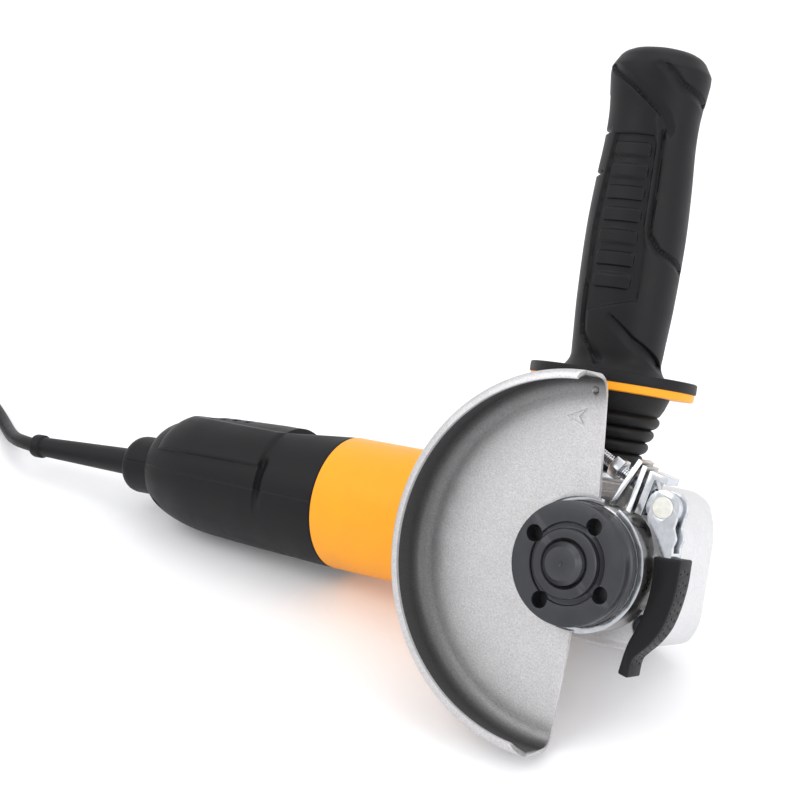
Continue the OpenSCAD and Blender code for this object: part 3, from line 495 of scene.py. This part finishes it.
def make_nut():
    hub, face, back = NUT_HUB, NUT_FACE, FLANGE_FACE
    line = [(7, back + 1.8), (7, hub - 1.2), (8.2, hub), (10.8, hub), (11.3, hub - 0.5),
            (11.3, face - 1), (13, face - 1), (13, face - 0.35), (13.35, face),
            (NUT_R - 0.8, face), (NUT_R - 0.2, face - 0.2), (NUT_R, face - 0.8),
            (NUT_R, back + 1), (NUT_R - 0.5, back + 0.5), (NUT_R - 0.5, back), (11.2, back),
            (11.2, back + 1.8)]
    nut = solid(lathe(line, 120))
    spanner_circle, first = 15, radians(60)
    cut(nut, *[rod(2.8, back - 1, face + 1, 32,
                   (spanner_circle * cos(first + i * pi / 2), spanner_circle * sin(first + i * pi / 2)))
               for i in range(4)])
    place(soften(nut, 0.22, 2, 40), "locknut.turned", SPINDLE, "locknut")
    line = [(7, 41), (NUT_R - 0.6, 41), (NUT_R, 41.6), (NUT_R, back - 0.7), (NUT_R - 0.6, back - 0.1),
            (12, back - 0.1), (11, back), (11, back + 1.4), (7, back + 1.4)]
    place(solid(lathe(line, 120)), "inner_flange.turned", SPINDLE, "inner_flange")
    # the spindle, with its thread turned as ridges and a centre hole in the end
    tip, crest, root, pitch, thread_from = SPINDLE_END, 6.95, 6.1, 2, 45
    line = [(0, -18), (4, -18), (4, -6), (5, -6), (5, 4), (6, 4), (6, 23.5), (8, 23.5), (8, 38),
            (10.5, 38), (10.5, 41), (6.9, 41), (6.9, thread_from)]
    for i in range(4):
        z = thread_from + 0.3 + i * pitch
        line += [(root, z + 0.75), (root, z + 1), (crest, z + 1.75), (crest, z + pitch)]
    line += [(crest, tip - 1.6), (5.3, tip), (1, tip), (0, tip - 0.9)]
    place(solid(lathe(line, 96)), "spindle.turned", SPINDLE, "spindle")


# ---- guard ----------------------------------------------------------------------------------------

def guard_section():
    """Pairs of points (radius, height) on the outside and the inside of the guard's sheet."""
    corner_r, lip = 6.5, 1.5
    front = GUARD_BACK + GUARD_DEPTH
    rim_in = GUARD_R - SHEET
    pairs = []
    start, bend = NUT_R + 1.5, GUARD_R - corner_r
    for i in range(25):
        r = start + (bend - start) * i / 24
        pairs.append(((r, GUARD_BACK), (r, GUARD_BACK + SHEET)))
    for a in range(15, 91, 15):
        c, s = cos(radians(a)), sin(radians(a))
        turn_in = corner_r - SHEET
        pairs.append(((bend + corner_r * s, GUARD_BACK + corner_r * (1 - c)),
                      (bend + turn_in * s, GUARD_BACK + SHEET + turn_in * (1 - c))))
    low = GUARD_BACK + corner_r
    for i in range(1, 9):
        z = low + (front - lip - low) * i / 8
        pairs.append(((GUARD_R, z), (rim_in, z - 0.35 * i / 8)))
    return pairs + [((GUARD_R - 0.5, front - 0.85), (rim_in - 0.35, front - 1.75)),
                    ((GUARD_R - 1.4, front - 0.28), (rim_in - 0.9, front - 1.35)),
                    ((GUARD_R - 3, front), (GUARD_R - 3.1, front - 1.15))]


def edge_angle(r, upper):
    """Where the guard's cut edge meets the circle of radius r, in degrees."""
    line = [(22, 3.8), (GUARD_R, 0)] if upper else [(21.5, 1.3), (57, 0)]
    y = r
    for _ in range(6):
        share = min(1, max(0, (y - line[0][0]) / (line[1][0] - line[0][0])))
        x = line[0][1] + (line[1][1] - line[0][1]) * share
        y = sqrt(r * r - x * x)
    return degrees(atan2(y, x)) if upper else 360 - degrees(atan2(y, x))


def make_guard():
    pairs = guard_section()
    lip_ends = {len(pairs) - 3: (0.9, 1.9), len(pairs) - 2: (1.7, 3.6), len(pairs) - 1: (2.4, 5.2)}
    spans = []
    for i, ((r, _), _) in enumerate(pairs):
        short = lip_ends.get(i, (0, 0))
        spans.append((edge_angle(min(r, GUARD_R), True) + short[0],
                      edge_angle(min(r, GUARD_R), False) - short[1]))
    rings, steps = [], 150
    for k in range(steps + 1):
        t = k / steps
        ring = []
        for (out, inside), (a0, a1) in zip(pairs, spans):
            a = radians(a0 + (a1 - a0) * t)
            ring.append(((out[0] * cos(a), out[0] * sin(a), out[1]),
                         (inside[0] * cos(a), inside[0] * sin(a), inside[1])))
        rings.append([p for p, _ in ring] + [q for _, q in reversed(ring)])
    guard = solid(loft(rings))
    # arrow for the direction of rotation, cut as a fine outline, and a small punched dimple
    face = GUARD_BACK + SHEET
    arrow = [Vector(p) for p in ((-11.6, 46.1), (-5.2, 49.2), (-7.4, 46.5), (-5.4, 43.9))]
    lines, line_w = [], 0.42
    for p, q in zip(arrow, arrow[1:] + arrow[:1]):
        along = (q - p).normalized() * line_w / 2
        across = Vector((-along.y, along.x))
        corners = [p - along - across, q + along - across, q + along + across, p - along + across]
        lines.append(prism([tuple(c) for c in corners], face - 0.4, face + 1))
    dimple = bmesh.new()
    bmesh.ops.create_icosphere(dimple, subdivisions=3, radius=1.6,
                               matrix=Matrix.Translation((-3.2, 55.3, face + 1.1)))
    cut(guard, *lines, tidied(dimple))
    soften(guard, 0.22, 2, 50)
    # how far out a point of the inner surface is: the inside of the turned-up rim gets painted shade and
    # painted dark reflection, growing outward
    painted_shade_from, painted_shade_full = 49, GUARD_R - 1
    rim = guard.data.attributes.new("rim", "FLOAT", "POINT")
    for f in guard.data.polygons:
        facing = f.normal.z - f.normal.xy.dot(f.center.xy.normalized())
        if facing > 0.2 and f.center.z < GUARD_BACK + GUARD_DEPTH - 1.6:
            for v in f.vertices:
                r = guard.data.vertices[v].co.xy.length
                rim.data[v].value = float(smooth_step(r, painted_shade_from, painted_shade_full))
    place(guard, "guard.pressing", SPINDLE, "guard_shell", smooth=34)


def make_clamp():
    band = soft_edged("clamp_band", 0.4, BAND, segments=3)
    # the edges of the strip and the ears are bright, its outside has dulled
    band.data.materials.append(ZINC)
    axis = (STAND @ SPINDLE).to_3x3().col[2]
    for f in band.data.polygons:
        if abs(f.normal.dot(axis)) > 0.5:
            f.material_index = 1
    soft_edged("clamp_saddle", 0.4)
    soft_edged("clamp_nut", 0.3)
    # eye bolt on the lever's pin, with a rolled thread on its shank
    screw_u, screw_dir, shank, pitch, crest, root = 31.5, 152.5, (4, 30), 0.8, 2, 1.62
    eye = solid(rod(5, screw_u - 2.15, screw_u + 2.15, 64, PIN))
    line = [(0, shank[0])]
    for i in range(int((shank[1] - shank[0]) / pitch)):
        z = shank[0] + i * pitch
        line += [(root, z), (crest, z + 0.3 * pitch), (crest, z + 0.55 * pitch),
                 (root, z + 0.85 * pitch)]
    thread = lathe(line + [(root, shank[1] - 0.2), (0, shank[1])], 32)
    thread.transform(Matrix.Translation((*PIN, screw_u)) @ Matrix.Rotation(radians(screw_dir), 4, "Z")
                     @ Matrix.Rotation(radians(90), 4, "Y"))
    soften(cut(eye, rod(PIN_R + 0.05, 20, 40, 64, PIN)), 0.3)
    shaft = cut(solid(thread), rod(4.4, 20, 40, 48, PIN))
    combine(eye, "UNION", [shaft.data])
    bpy.data.objects.remove(shaft)
    place(eye, "clamp_screw.rolled", SPINDLE, "clamp_screw")


# ---- quick release lever ---------------------------------------------------------------------------

CHEEK = (27.6, 35.4)
CHEEK_T = 1.7
EYE_R, PIN_R = 5.6, 3.6
SLEEVE = (27, 36.8)
ARM = [(17.6, 19.6), (18.6, 16.4), (20.2, 13.6), (21.4, 10.4), (22.6, 7.4), (24.1, 6.6), (25, 1),
       (24.6, -7), (22.4, -14.5), (24.2, -15.6), (27, -7.6), (27.6, 1), (28.1, 7.7), (27.8, 10.4), (28.6, 13),
       (27.2, 16.4), (28, 20.8)]
SLEEVE_IN = [(22.7, 6.7), (23.3, 0.6), (23.2, -5), (22.3, -11), (20.5, -17), (18.6, -22), (17.7, -26),
             (16.8, -32)]
SLEEVE_OUT = [(20.4, -32.8), (20.8, -27.3), (22.8, -24.4), (26.1, -20.6), (29.1, -15.4), (31, -8.6),
              (32, -1), (32, 7.2)]


def make_lever():
    arm = solid(prism(rounded(ARM, 2.2), CHEEK[0], CHEEK[1]))
    eye = rod(EYE_R, CHEEK[0], CHEEK[1], 64, PIN)
    combine(arm, "UNION", [eye])
    # the strip is folded, so the two cheeks stand apart and join at the web on the outer side
    web_x = 24.5
    cut(arm, block((0, 8.5, CHEEK[0] + CHEEK_T), (40, 40, CHEEK[1] - CHEEK_T)),
        block((0, -40, CHEEK[0] + CHEEK_T), (web_x, 9, CHEEK[1] - CHEEK_T)),
        rod(PIN_R, 20, 40, 48, PIN))
    place(soften(arm, 0.35, 2), "lever_arm.pressing", SPINDLE, "lever_arm")
    pin = solid(lathe([(0, 27.2), (PIN_R - 0.05, 27.2), (PIN_R - 0.05, 35.6), (PIN_R - 0.4, 35.9),
                       (0, 35.9)], 64))
    pin.data.transform(Matrix.Translation((*PIN, 0)))
    place(pin, "lever_pin.turned", SPINDLE, "lever_pin", look=CREAM)
    make_sleeve()


def make_sleeve():
    inner, outer = smooth_line(SLEEVE_IN, 5), smooth_line(SLEEVE_OUT, 5)
    sleeve = solid(prism([tuple(p) for p in inner + outer], *SLEEVE))
    soften(sleeve, 0.8, 3)
    tongue = [(24, 9), (25, 1), (24.6, -7), (22.3, -14.6), (24.2, -15.8), (27, -7.6), (27.6, 1),
              (28.2, 9)]
    dots = bmesh.new()
    dot_r = 0.42
    for i in range(4, len(outer) - 2, 2):
        along = (outer[i + 1] - outer[i]).normalized()
        for row in range(3):
            at = outer[i] + along * (0.9 if row == 1 else 0)
            bmesh.ops.create_icosphere(dots, subdivisions=2, radius=dot_r, matrix=Matrix.Translation(
                (at.x, at.y, SLEEVE[0] + 2.6 + row * 2.7)))
    dot_mesh = bpy.data.meshes.new("dots")
    dots.to_mesh(dot_mesh)
    dots.free()
    cut(sleeve, prism(tongue, CHEEK[0] - 0.05, CHEEK[1] + 0.05), dot_mesh)
    place(sleeve, "lever_sleeve.moulding", SPINDLE, "lever_sleeve")


# ---- side handle ----------------------------------------------------------------------------------

GRIP_LINE = [(17.5, 63), (15.6, 66.5), (15.7, 72), (16.6, 88), (17, 110), (16.4, 127), (15.5, 141),
             (15.5, 151), (16.4, 158.5)]
GRIP_CAP = [(17, 163.8), (16.95, 166.2), (16.7, 166.8), (14.6, 170.3), (13.4, 171.5), (11.4, 172.5),
            (8.8, 173.1)]
# Grooves on the grip: (side that the floor slopes up to, seen along the line, width of the floor,
# points as degrees round the handle and height); each is there again on the other side
GROOVES = [
    (1, 3.2, [(-152, 167.5), (-125, 162.5), (-100, 158.4), (-70, 152), (-56, 149), (-48, 145.4)]),
    (-1, 2.4, [(-52, 148), (-48, 145.4), (-46.6, 141), (-46.4, 125), (-47.5, 113), (-46, 109.5),
               (-33, 105.4), (20, 100.4)]),
    (-1, 3.2, [(-62, 167.5), (-34.6, 161.2), (20, 157)]),
    (-1, 3.2, [(-71, 80), (-48, 75), (0.6, 68.8), (6, 68)]),
    (1, 3, [(-123, 90), (-122.8, 78), (-120.5, 74), (-110, 71), (-91, 65)])]
NOTCHES = [[(-176, 143.6), (-128, 143.6)], [(-176, 129.2), (-128, 129.2)]]
# Recessed panel with plain ribs standing in it
GROOVE_DEPTH, PANEL_DEPTH, RIB_RISE = 1.25, 1.1, 0.85
PANEL = [(-117, 142.6), (-60, 142.6), (-55.5, 139.5), (-55, 112), (-50, 104.5), (-49.5, 87),
         (-112, 82), (-121, 86), (-124, 110)]
RIB_HEIGHTS = [137.2 - 7.4 * i for i in range(7)]


def smooth_step(x, low, high):
    t = np.clip((x - low) / (high - low), 0, 1)
    return t * t * (3 - 2 * t)


def reach_to(line, s, h, girth, closed=False):
    """Distance from each point (s, h) of the unrolled grip to a line drawn on it, and its side."""
    ends = list(zip(line, line[1:])) + ([(line[-1], line[0])] if closed else [])
    best, side = np.full(s.shape, 1e9), np.ones(s.shape)
    for (s0, h0), (s1, h1) in ends:
        ds, dh = s1 - s0, h1 - h0
        ps = (s - s0 + girth / 2) % girth - girth / 2
        ph = h - h0
        t = np.clip((ps * ds + ph * dh) / (ds * ds + dh * dh), 0, 1)
        away = np.hypot(ps - t * ds, ph - t * dh)
        side = np.where(away < best, np.sign(ds * ph - dh * ps), side)
        best = np.minimum(best, away)
    return best, side


def inside(line, s, h):
    """Whether each point lies inside the closed line."""
    count = np.zeros(s.shape, int)
    for (s0, h0), (s1, h1) in zip(line, line[1:] + line[:1]):
        if h0 != h1:
            crosses = (h0 > h) != (h1 > h)
            count += crosses & (s < s0 + (h - h0) * (s1 - s0) / (h1 - h0))
    return count % 2 == 1


def grip_relief(turn, h):
    """Depth of the grip's pattern below its plain surface."""
    per_degree = 15.3 * pi / 180
    girth = 360 * per_degree
    depth = np.zeros(turn.shape)
    for flip in (0, 180):
        s = ((turn - flip + 270) % 360 - 270) * per_degree
        for lean_to, width, line in GROOVES:
            d, side = reach_to([(a * per_degree, z) for a, z in line], s, h, girth)
            d = d * np.where(side == 0, 1, side) * lean_to
            floor = 1 - np.clip((d - 0.4) / width, 0, 1)
            depth = np.maximum(depth, GROOVE_DEPTH * smooth_step(d, -0.35, 0.2) * floor)
        panel = [(a * per_degree, z) for a, z in PANEL]
        d, _ = reach_to(panel, s, h, girth, closed=True)
        sunk = PANEL_DEPTH * smooth_step(np.where(inside(panel, s, h), d, -d), -0.1, 0.55)
        middle, half_w, half_h, corner = -86 * per_degree, 6.6, 2.3, 1.2
        for z in RIB_HEIGHTS:
            q = np.hypot(np.maximum(abs(s - middle) - half_w + corner, 0),
                         np.maximum(abs(h - z) - half_h + corner, 0)) - corner
            sunk = sunk - RIB_RISE * smooth_step(-q, -0.25, 0.25) * (sunk > 0.5)
        depth = np.maximum(depth, sunk)
    s = ((turn + 270) % 360 - 270) * per_degree
    for line in NOTCHES:
        d, _ = reach_to([(a * per_degree, z) for a, z in line], s, h, girth)
        depth = np.maximum(depth, 1.2 * (1 - smooth_step(d, 0.35, 0.9)))
    return depth


def make_grip():
    turns = 330
    cap = [Vector(p) for p in GRIP_CAP]
    line = smooth_line(GRIP_LINE + GRIP_CAP[:1], 90)
    for a, b in zip(cap, cap[1:]):
        line += [a.lerp(b, k / 5) for k in range(1, 6)]
    rings = []
    spaced = [line[0]]
    for p in line[1:]:
        if (p - spaced[-1]).length > 0.36:
            spaced.append(p)
    angles = np.arange(turns) * 360 / turns - 180
    for r, h in spaced:
        depth = grip_relief(angles, np.full(turns, h))
        fade = smooth_step(np.array(h), DISC_TOP + 1, DISC_TOP + 3) * (
            1 - smooth_step(np.array(h), 166, 166.9))
        radius = r - depth * fade
        rings.append([(q * cos(radians(a)), q * sin(radians(a)), h) for q, a in zip(radius, angles)])
    # shallow dome on top, with a raised rim
    for r, h in ((7.5, HANDLE_TOP - 0.05), (6.5, HANDLE_TOP - 0.25), (3, HANDLE_TOP - 0.3),
                 (0.8, HANDLE_TOP - 0.3)):
        rings.append([(r * cos(radians(a)), r * sin(radians(a)), h) for a in angles])
    place(solid(loft(rings)), "handle_grip.moulding", HANDLE, "handle_grip", smooth=50)


def make_handle():
    make_grip()
    bore = 4.1
    line = [(bore, RING_TOP), (DISC_R - 0.6, RING_TOP), (DISC_R - 0.15, RING_TOP + 0.15),
            (DISC_R, RING_TOP + 0.5), (DISC_R, DISC_TOP - 0.6), (DISC_R - 0.2, DISC_TOP - 0.2),
            (DISC_R - 0.7, DISC_TOP), (bore, DISC_TOP)]
    place(solid(lathe(line, 160)), "handle_disc.moulding", HANDLE, "handle_disc")
    edge = DISC_R - 0.5
    line = [(bore, BOOT_TOP), (edge - 0.8, BOOT_TOP), (edge - 0.2, BOOT_TOP + 0.2),
            (edge, BOOT_TOP + 0.8), (edge, RING_TOP), (bore, RING_TOP)]
    place(solid(lathe(line, 160)), "handle_ring.moulding", HANDLE, "handle_ring")
    make_boot()


def make_boot():
    """Four round ribs with sharp valleys, widening towards a plain collar."""
    pitch, first, rib, foot, taper = 4.4, BOSS_TOP + 4.4, 2.35, 11.6, 1.25
    line = [(4.1, BOSS_TOP), (foot, BOSS_TOP)]
    h = BOSS_TOP + 0.4
    while h < first + 3.5 * pitch:
        near = min(range(4), key=lambda i: abs(h - first - i * pitch))
        off = (h - first - near * pitch) / (pitch / 2)
        base = foot + 0.2 + (h - first) / pitch * taper
        line.append((base + rib * sqrt(max(0, 1 - off * off)), h))
        h += 0.22
    line = [q for q in line if q[1] < BOOT_TOP - 7]
    line += [(16.9, BOOT_TOP - 6.7), (17.6, BOOT_TOP - 6.2), (18.8, BOOT_TOP - 4), (20, BOOT_TOP - 0.6),
             (20, BOOT_TOP), (4.1, BOOT_TOP)]
    place(solid(lathe(line, 120)), "handle_boot.moulding", HANDLE, "handle_boot", smooth=45)


# ---- body -----------------------------------------------------------------------------------------

TAIL_LINE = [(24.6, 156), (24, 172), (23.4, 185), (22, 195), (19.6, 204), (16.2, 210.5),
             (10.5, TAIL_END)]
HOOD_FRONT, HOOD_HALF, HOOD_TOP, HOOD_END = 148, 69, 22.3, 207.5
HOOD_LINE = [(24.6, 147), (25.5, 148.2), (25.7, 151), (25.6, 164), (25.1, 178), (24.4, 190),
             (22.4, 199), (18.5, 204), (10, HOOD_END)]
VENT_FROM, VENT_PITCH, VENT_W = 170, 6, 2.2
SCREW_HOLES = ((2, 157), (17.5, 176), (-10.5, 205))     # across the body and rearward


def radius_at(line, b):
    smooth = smooth_line(line, 8)
    return np.interp(b, [p[1] for p in smooth], [p[0] for p in smooth])


def soft_max(a, b, k):
    """The larger of two values, with a fillet of about k between them."""
    h = np.clip(0.5 + 0.5 * (a - b) / k, 0, 1)
    return b + (a - b) * h + k * h * (1 - h)


def lead_round(radius, turn, b):
    """Reach from the motor axis to a circle about the lead's axis."""
    low = LEAD_LOW + (b - LEAD_FROM) * sin(radians(LEAD_DROOP))
    c, s = np.cos(np.radians(turn)), np.sin(np.radians(turn))
    return np.sqrt(radius ** 2 - (low * s) ** 2) - low * c


def tail_radius(b):
    return BODY_R - 0.6 * smooth_step(b, SEAM_B, 156) if b < 156 else radius_at(TAIL_LINE, b)


def shell_radius(turn, b):
    """Outer radius of the rear body at an angle from the handle's side, distance b rearward."""
    rounded_over, drop, fillet = 4.5, 3.2, 3.5
    rounding = np.clip((b - BOSS_END + rounded_over) / rounded_over, 0, 1)
    boss = BOSS_R - drop * (1 - np.sqrt(1 - rounding ** 2))
    r = soft_max(tail_radius(b) if b < TAIL_END else 0,
                 lead_round(boss, turn, b) if b > LEAD_FROM else 0, fillet)
    r = r + 0 * turn
    off = abs(turn)
    level = np.maximum(np.cos(np.radians(turn)), 0.3)
    if HOOD_FRONT - 1 < b < HOOD_END:
        hood = -soft_max(-HOOD_TOP / level, -radius_at(HOOD_LINE, b), 0.35)
        side = (off - HOOD_HALF) * pi / 180 * 24
        r = soft_max(r, hood - 40 * smooth_step(side, -0.4, 8), 0.3)
    elif b <= HOOD_FRONT - 1:
        flat = HOOD_TOP + (BODY_R - HOOD_TOP) * (HOOD_FRONT - b) / (HOOD_FRONT - SEAM_B)
        r = -soft_max(-flat / level, -r, 0.4)
    # narrow hollow in front of the hood, steep on the hood's side
    hollow = smooth_step(b, 143.6, 147.2) * (1 - smooth_step(b, 147.4, 148.4))
    return r - 1.7 * hollow * smooth_step(off, 56, 68) * (1 - smooth_step(off, 84, 114))


def shell_rows():
    rows, b = [], SEAM_B
    fine = ((SEAM_B, SEAM_B + 1.5, 0.25), (143.4, 151, 0.3), (194, 215, 0.35),
            (BOSS_END - 3, BOSS_END, 0.3))
    while b < BOSS_END - 1e-6:
        rows.append(b)
        b += next((step for lo, hi, step in fine if lo <= b < hi), 1.1)
    return rows + [BOSS_END]


def make_shell(node, first):
    """Half of the rear body, as a moulded shell that meets the other half along the sides."""
    edge = [0, 0.35, 0.8, 1.4, 2.2]
    half = (edge + list(np.arange(3.4, 15, 1.3)) + list(np.arange(15.2, 27, 0.5))
            + list(np.arange(27.2, 89.9, 1.3)))
    turns = np.array(half + [180 - e for e in reversed(half)]) + first
    gap = np.minimum(turns - first, first + 180 - turns)
    chamfer = 0.22 * (1 - smooth_step(gap, 0.2, 1.3))
    outer, inner = [], []
    for b in shell_rows():
        lead_in = 0.45 * (1 - smooth_step(np.array(b), SEAM_B, SEAM_B + 1.0))
        outer.append(shell_radius((turns + 180) % 360 - 180, b) - chamfer - lead_in)
        inner.append(np.maximum(tail_radius(b) - WALL if b < TAIL_END - 4 else 0,
                                lead_round(LEAD_BORE, turns, b)))
    rings = []
    for k, a in enumerate(np.radians(turns)):
        rows = shell_rows()
        ring = [(r[k] * cos(a), r[k] * sin(a), b) for r, b in zip(outer, rows)]
        back = [(r[k] * cos(a), r[k] * sin(a), b) for r, b in zip(inner, rows)]
        rings.append(ring + back[::-1])
    shell = solid(loft(rings))
    tools = [block((-4.3, 15, 145.5), (4.3, 35, 164.5))]
    for i in range(4):
        low = VENT_FROM + VENT_PITCH * i
        tools += [block((14, -6, low), (28, 8, low + VENT_W)),
                  block((-28, -6, low), (-14, 8, low + VENT_W))]
    for y, b in SCREW_HOLES:
        hole = rod(3.2, 0, 31, 32)
        hole.transform(Matrix.Translation((-9, y, b)) @ Matrix.Rotation(radians(-90), 4, "Y"))
        tools.append(hole)
    cut(shell, *tools)
    place(shell, node + ".moulding", MOTOR, node, smooth=40)


def make_body():
    soft_edged("motor_housing", 0.6, segments=3)
    make_shell("rear_shell_upper", -90)
    make_shell("rear_shell_lower", 90)
    soft_edged("switch_slider", 0.6, segments=3)
    soft_edged("shell_screws", 0.2)


# ---- the whole tool -------------------------------------------------------------------------------

make_studio()
finish_frame()
make_lead()
make_relief()
make_gear_head()
make_nut()
make_guard()
make_clamp()
make_lever()
make_handle()
make_body()
